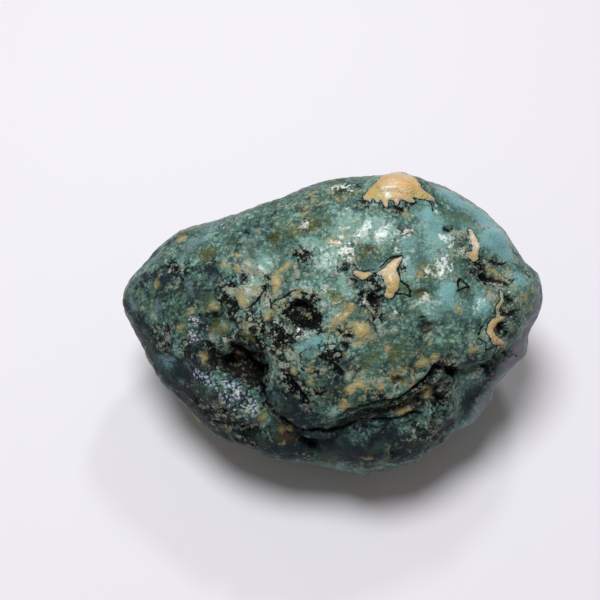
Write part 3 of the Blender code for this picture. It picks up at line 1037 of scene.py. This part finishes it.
class StonePaint(Board):
    """The stone's material while it is built up: its noises, its markings, and the colour so far."""

    def __init__(self, looks):
        super().__init__("moss_agate_stone")
        self.looks = looks
        self.cloud = self.grain(*CLOUD)
        self.mottle = self.grain(*MOTTLE)
        self.warm = self.grain(*WARM)
        self.fine = self.grain(*FINE)
        self.speck = self.grain(*SPECK)
        self.ragged = (self.mottle - 0.5) * 1.1 + (self.fine - 0.5) * 1.1 + (self.speck - 0.5) * 0.5
        blots = self.node("TexNoise", None, {"Vector": self.place, "Scale": 1000.0 / BEND_SIZE_MM}, "Color")
        bend = {0: blots, 1: (BEND, BEND, BEND), 2: self.place}
        self.bent = self.node("VectorMath", {"operation": "MULTIPLY_ADD"}, bend)
        self.bead = self.cells(BEAD_MM)
        self.bead_chance = 1.0 * self.cells(BEAD_MM, "Color")
        self.cell_chance = 1.0 * self.cells(CELL_MM, "Color")
        self.wall = self.cells(CELL_MM, feature="DISTANCE_TO_EDGE")
        self.rise = self.field("rise")
        self.zone = {name: self.within(name) for name in ("pale", "smooth", "flecked", "lacy", "painted_shade")}
        self.colour = looks.mid

    def cells(self, size_mm, out="Distance", feature="F1"):
        """Bent cells of about that size: the way to a cell's middle or edge, or its chance colour."""
        values = {"Vector": self.bent, "Scale": 1000.0 / size_mm}
        return self.node("TexVoronoi", {"feature": feature}, values, out)

    def field(self, name):
        """What the mesh keeps under that name, in millimetres."""
        return self.node("Attribute", {"attribute_name": name}, out="Fac")

    def edge(self, name):
        """How far outside that kind of marking a place is, with a ragged border."""
        return self.field(name) + self.ragged * BORDERS[name].ragged

    def within(self, name):
        """1 inside that kind of marking, 0 outside it, and a ragged border between."""
        return self.step(self.edge(name), BORDERS[name].begins, BORDERS[name].full)

    def lay(self, share, tint):
        """Lays a colour over what is there so far."""
        self.colour = self.mix(share, self.colour, tint)


def paint_chalcedony(paint):
    """The teal ground: clouds, mossy blots and beads from deep to light, calmer where it is worn smooth;
    with painted light in the pale zones, painted shade low on the sides and at the left end, darker pits,
    and blurred glints painted as blots.
    """
    looks, zone = paint.looks, paint.zone
    calm = 1 - 0.75 * zone["smooth"]
    crisp = calm * (1 - 0.70 * zone["painted_shade"])
    grains = (paint.fine - 0.5) * 0.8 + (paint.speck - 0.5) * 0.4
    grains = grains + (paint.bead_chance - 0.5) * 0.44 - (paint.bead - 0.35) * 0.5
    tone = 0.64 + (paint.cloud - 0.5) * 1.0 + (paint.mottle - 0.5) * 1.65 * calm + grains * crisp
    # Lighter on raised relief and darker in pits and hollows; lighter in the pale zones, partly painted
    # light; darker in the painted shade
    tone = tone + paint.rise * 0.8 + zone["pale"] * 0.49 - zone["painted_shade"] * 0.66
    paint.colour = looks.deep
    paint.lay(paint.step(tone, 0.05, 0.55), looks.mid)
    paint.lay(paint.step(tone, 0.50, 1.05), looks.light)
    paint.lay(zone["smooth"] * zone["pale"] * 0.62, looks.blue)
    # Painted shade: a cool grey over the painted shade zones
    paint.lay(zone["painted_shade"] * 0.28, looks.painted_shade_tint)
    green = paint.grain(*MOSS) + (paint.fine - 0.5) * 0.3
    mossy = (0.62 - 0.38 * zone["pale"]) * (1 - 0.6 * zone["painted_shade"])
    paint.lay(paint.step(green, 0.50, 0.64) * mossy, looks.green)
    dot = paint.step(paint.bead, 0.42, 0.20)
    paint.lay(dot * paint.step(paint.bead_chance, 0.62, 0.76) * crisp * 0.18, looks.frost)
    paint.lay(dot * paint.step(paint.bead_chance, 0.36, 0.26) * crisp * 0.50, looks.deep)
    # Painted highlights: blurred glints laid as soft pale blue blots
    paint.lay(paint.within("blurred_glints") * 0.56, looks.blurred_glints)


def paint_stains_and_sheen(paint):
    """Rusty and olive stains, and the purple-grey bands low on the flank, partly painted sheen of the
    floor's light.
    """
    looks = paint.looks
    paint.lay(paint.within("grey") * 0.90, looks.grey)
    paint.lay(paint.within("olive") * 0.66, looks.olive)
    paint.lay(paint.within("rust") * 0.80, looks.rust)


def paint_gold(paint):
    """Soft blots of dusty gold and cream, thick in the flecked zones and rare where the stone is smooth."""
    looks, zone = paint.looks, paint.zone
    spread = zone["flecked"] * 0.09 - zone["painted_shade"] * 0.05 - zone["smooth"] * 0.12
    tint = paint.mix(paint.step(paint.warm + (paint.fine - 0.5) * 0.3, 0.42, 0.56), looks.cream, looks.gold)
    blots = paint.grain(*GOLD_BLOTS) + (paint.fine - 0.5) * 0.30 + (paint.bead_chance - 0.5) * 0.10
    paint.lay(paint.step(blots + spread, 0.58, 0.73) * 0.80, tint)
    crumbs = paint.grain(*GOLD_CRUMBS)
    paint.lay(paint.step(crumbs + spread * 0.6, 0.61, 0.70) * 0.65, tint)


def paint_lace(paint):
    """Cream-green and dark cells with black walls between, in the lacy zones and round the crusts."""
    looks = paint.looks
    near = paint.step(paint.field("crust") + paint.ragged * 2.4, 0.9, 0.1)
    near = near * (0.8 - 0.7 * paint.zone["smooth"])
    share = 1 - (1 - paint.zone["lacy"]) * (1 - near)
    fill = paint.mix(paint.step(paint.cell_chance, 0.48, 0.56), looks.deep, looks.cream)
    clear = paint.step(paint.cell_chance, 0.40, 0.44) * paint.step(paint.cell_chance, 0.56, 0.52)
    paint.lay(share * (1 - clear) * 0.72, fill)
    paint.lay(share * paint.step(paint.wall + (paint.fine - 0.5) * 0.40, 0.17, 0.05) * 0.94, looks.black)


def paint_black(paint):
    """Dark hollows, partly painted shade, the cream spots over them, black crusts with a few grains in them,
    and drawn lines.
    """
    looks = paint.looks
    murk = paint.within("murky_shade")
    # Painted shade: brown-black laid over the hollows, partly their dark crystals
    paint.lay(murk * (0.96 - 0.40 * paint.step(paint.bead_chance, 0.68, 0.80)), looks.murk)
    crumbs = paint.step(paint.bead + (paint.fine - 0.5) * 0.8, 0.66, 0.34)
    crumbs = crumbs * paint.step(paint.bead_chance, 0.60, 0.76)
    paint.lay(murk * crumbs * 0.30, looks.cream)
    cream_tint = paint.mix(paint.step(paint.fine, 0.34, 0.52), looks.mid, looks.cream)
    paint.lay(paint.within("cream") * 0.85, cream_tint)
    crust = paint.within("crust")
    grains = paint.step(paint.bead, 0.40, 0.20) * paint.step(paint.bead_chance, 0.58, 0.66)
    grain_tint = paint.mix(paint.step(paint.warm, 0.4, 0.6), looks.mid, looks.cream)
    paint.lay(crust * 0.97, paint.mix(grains * (0.8 - 0.6 * murk), looks.black, grain_tint))
    lines = paint.within("lines")
    paint.lay(lines, looks.black)
    return murk, crust + lines


def paint_ochre(paint):
    """The soft ochre spots, and the raised patches with thin, broken black outlines."""
    looks = paint.looks
    warmth = paint.step(paint.warm + (paint.fine - 0.5) * 0.5, 0.42, 0.64)
    tint = paint.mix(warmth, looks.ochre, looks.orange)
    spot_tint = paint.mix(paint.step(paint.edge("ochre"), 0.0, -0.50) * 0.45, looks.gold, tint)
    # The spots are dimmer in the painted shade
    paint.lay(paint.within("ochre") * (1 - 0.15 * paint.zone["painted_shade"]) * 0.92, spot_tint)
    edge = paint.edge("raised_ochre")
    outline = paint.step(edge, 0.19, 0.12) * paint.step(paint.mottle, 0.40, 0.46)
    paint.lay(outline * 0.95, looks.black)
    patch = paint.within("raised_ochre")
    # Bone where the pale zones, partly painted light, cross the patches
    pale_tint = paint.mix(paint.zone["pale"] * 0.75, tint, looks.bone)
    paint.lay(patch, paint.mix(paint.step(edge, 0.03, -0.26), looks.cream, pale_tint))
    return patch


def paint_sparkle(paint):
    """Lilac frost crystals on a dark ground, their sparkle painted in, and white painted glints."""
    looks = paint.looks
    frost = paint.within("frost")
    # Painted sparkle: lilac-white grains of the frost crystals, bright as glints, on a darkened ground
    painted_sparkle = paint.step(paint.bead + (paint.mottle - 0.5) * 0.5, 0.64, 0.30)
    painted_sparkle = painted_sparkle * paint.step(paint.bead_chance, 0.14, 0.38)
    paint.lay(frost * (1 - painted_sparkle) * 0.85, looks.deep)
    paint.lay(frost * painted_sparkle * 0.82, looks.frost)
    # Painted highlights: white glints laid as colour where the lamps shine off the stone
    grains = paint.step(paint.fine + (paint.bead_chance - 0.5) * 0.4, 0.43, 0.59)
    paint.lay(paint.within("painted_glints") * grains * 0.88, looks.white)
    return frost


def stone_material(looks):
    """Mottled teal chalcedony with ochre, black, olive and frosted markings."""
    paint = StonePaint(looks)
    paint_chalcedony(paint)
    paint_gold(paint)
    paint_lace(paint)
    paint_stains_and_sheen(paint)
    murk, black = paint_black(paint)
    patch = paint_ochre(paint)
    frost = paint_sparkle(paint)
    # Painted shade: black laid into the crevices, darkening them beyond their cut depth
    crevice = paint.within("crevices")
    paint.lay(crevice * 0.96, looks.black)

    dark = paint.step(murk + black + crevice, 0.0, 1.0)
    wet = looks.wet * (0.30 + 0.70 * paint.zone["pale"]) * (1 - dark) * (1 - paint.zone["painted_shade"])
    rough = looks.gloss + (paint.fine - 0.5) * 0.5 + patch * 0.05 + murk * 0.5
    height = (paint.fine - 0.5) * 1.3 + (paint.speck - 0.5) * 0.7 + (paint.mottle - 0.5) * 0.6
    height = height * (1 - 0.6 * paint.zone["smooth"]) - paint.bead * (0.35 + 0.5 * frost)
    bump_values = {"Strength": 0.8, "Distance": 0.20 * MM, "Height": height}
    shader_values = {
        "Base Color": paint.colour,
        "Roughness": rough,
        "Metallic": 0.0,
        "IOR": 1.54,
        "Specular IOR Level": looks.shine,
        "Coat Weight": wet,
        "Coat Roughness": 0.22,
        "Coat IOR": 1.45,
        "Subsurface Weight": 0.0,
        "Normal": paint.node("Bump", None, bump_values, "Normal"),
    }
    return paint.end(paint.node("BsdfPrincipled", None, shader_values, "BSDF"))


class MOSSAGATE_OT_make_stone(bpy.types.Operator):
    """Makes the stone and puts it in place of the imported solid"""

    bl_idname = "moss_agate.make_stone"
    bl_label = "Make stone"

    def execute(self, context):
        looks = context.scene.stone_looks
        mesh = make_stone_mesh(looks)
        mesh.materials.append(stone_material(looks))
        stone = bpy.data.objects.new("moss_agate_stone", mesh)
        context.scene.collection.objects.link(stone)
        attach(stone, "root")
        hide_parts("moss_agate")
        return {"FINISHED"}


def aim(thing, place, target):
    """Puts a light at a place, looking at the target."""
    thing.location = place
    thing.rotation_euler = (target - place).to_track_quat("-Z", "Y").to_euler()


def add_area_light(name, power, size, place, tint):
    """Adds a round lamp, looking at what the camera looks at."""
    light = bpy.data.lights.new(name, "AREA")
    light.energy = power
    light.shape = "DISK"
    light.size = size
    light.color = tint
    lamp = bpy.data.objects.new(name, light)
    bpy.context.scene.collection.objects.link(lamp)
    aim(lamp, Vector(place), CAMERA_AIM)


class MOSSAGATE_OT_make_stage(bpy.types.Operator):
    """Makes the floor, the lights and the camera"""

    bl_idname = "moss_agate.make_stage"
    bl_label = "Make stage"

    def execute(self, context):
        looks = context.scene.stage_looks
        sheet = bmesh.new()
        bmesh.ops.create_grid(sheet, x_segments=1, y_segments=1, size=FLOOR_HALF)
        mesh = bpy.data.meshes.new("floor")
        sheet.to_mesh(mesh)
        sheet.free()
        board = Board("pale_floor")
        shader = board.node("BsdfPrincipled", None, {"Base Color": looks.floor, "Roughness": 0.9}, "BSDF")
        mesh.materials.append(board.end(shader))
        floor = bpy.data.objects.new("floor", mesh)
        context.scene.collection.objects.link(floor)

        add_area_light("key", looks.key_power, *KEY)
        add_area_light("glint", looks.glint_power, *GLINT)
        world = bpy.data.worlds.new("soft_sky")
        world.use_nodes = True
        sky = world.node_tree.nodes["Background"]
        sky.inputs["Color"].default_value = SKY_TINT
        sky.inputs["Strength"].default_value = looks.sky
        context.scene.world = world
        context.scene.view_settings.view_transform = "Standard"

        camera = bpy.data.objects.new("camera", bpy.data.cameras.new("camera"))
        camera.data.lens = LENS_MM
        camera.data.sensor_width = SENSOR_MM
        camera.data.clip_start = 1 * MM
        eye, right, up, back = camera_axes()
        turn = Matrix((right, up, back)).transposed().to_4x4()
        camera.matrix_world = Matrix.Translation(eye) @ turn
        context.scene.collection.objects.link(camera)
        context.scene.camera = camera
        return {"FINISHED"}


class MOSSAGATE_PT_panel(bpy.types.Panel):
    """The looks of the stone and of its stage"""

    bl_label = "Moss agate"
    bl_space_type = "VIEW_3D"
    bl_region_type = "UI"
    bl_category = "Moss agate"

    def draw(self, context):
        for name in ("stone_looks", "stage_looks"):
            looks = getattr(context.scene, name)
            for setting in looks.__annotations__:
                self.layout.prop(looks, setting)
        self.layout.operator("moss_agate.make_stone")
        self.layout.operator("moss_agate.make_stage")


CLASSES = (StoneLooks, StageLooks, MOSSAGATE_OT_make_stone, MOSSAGATE_OT_make_stage, MOSSAGATE_PT_panel)


def register():
    """Makes the classes and both groups of settings known to Blender."""
    for each in CLASSES:
        bpy.utils.register_class(each)
    bpy.types.Scene.stone_looks = bpy.props.PointerProperty(type=StoneLooks)
    bpy.types.Scene.stage_looks = bpy.props.PointerProperty(type=StageLooks)


def unregister():
    """Takes both groups of settings and the classes out again."""
    del bpy.types.Scene.stage_looks
    del bpy.types.Scene.stone_looks
    for each in reversed(CLASSES):
        bpy.utils.unregister_class(each)


def main():
    """Makes the stone and its stage."""
    register()
    bpy.ops.moss_agate.make_stone()
    bpy.ops.moss_agate.make_stage()


if __name__ == "__main__":
    main()
